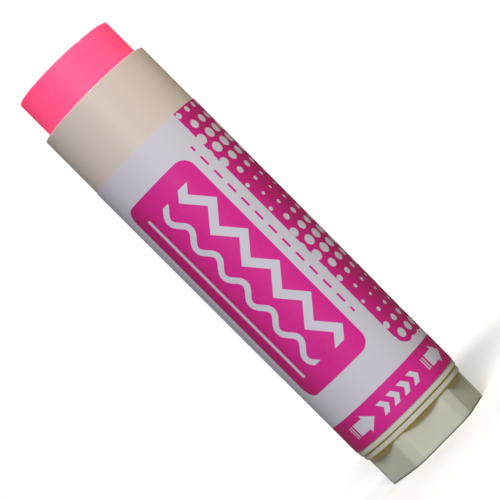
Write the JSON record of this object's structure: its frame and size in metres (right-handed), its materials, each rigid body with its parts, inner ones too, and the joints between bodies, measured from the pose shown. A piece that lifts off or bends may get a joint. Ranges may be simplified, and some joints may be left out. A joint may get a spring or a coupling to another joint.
{
  "type": "twist crayon",
  "caption": "Twist-up marking crayon: a stick of pink paint in a label-wrapped plastic barrel, raised by a feed screw when the faceted knob at its foot is turned.",
  "frame": {"origin": "middle of the knob's foot, on the surface that the crayon stands on", "axes": "+Z along the crayon's axis, towards the paint; -Y towards the printed front of the label"},
  "size_m": [0.0288, 0.029, 0.1129],
  "materials": {
    "barrel_plastic": "natural milky polypropylene",
    "label_film": "printed white film",
    "knob_plastic": "natural ivory polypropylene",
    "screw_plastic": "natural acetal",
    "carrier_plastic": "natural polypropylene",
    "paint": "waxy fluorescent pink paint"
  },
  "bodies": {
    "barrel": {"barrel": "barrel_plastic", "label": "label_film"},
    "knob": {"twist_knob": "knob_plastic", "feed_screw": "screw_plastic"},
    "lift": {"carrier": "carrier_plastic", "paint_stick": "paint"}
  },
  "joints": [
    {"name": "knob_twist", "type": "hinge", "parent": "barrel", "child": "knob", "pos_m": [0, 0, 0], "axis": [0, 0, 1], "range_deg": [-654, 3720]},
    {"name": "paint_feed", "type": "slide", "parent": "barrel", "child": "lift", "axis": [0, 0, 1], "range_m": [-0.0109, 0.062]}
  ],
  "couplings": [
    {"joint": "paint_feed", "follows": "knob_twist", "m_per_rad": 0.00095493}
  ]
}
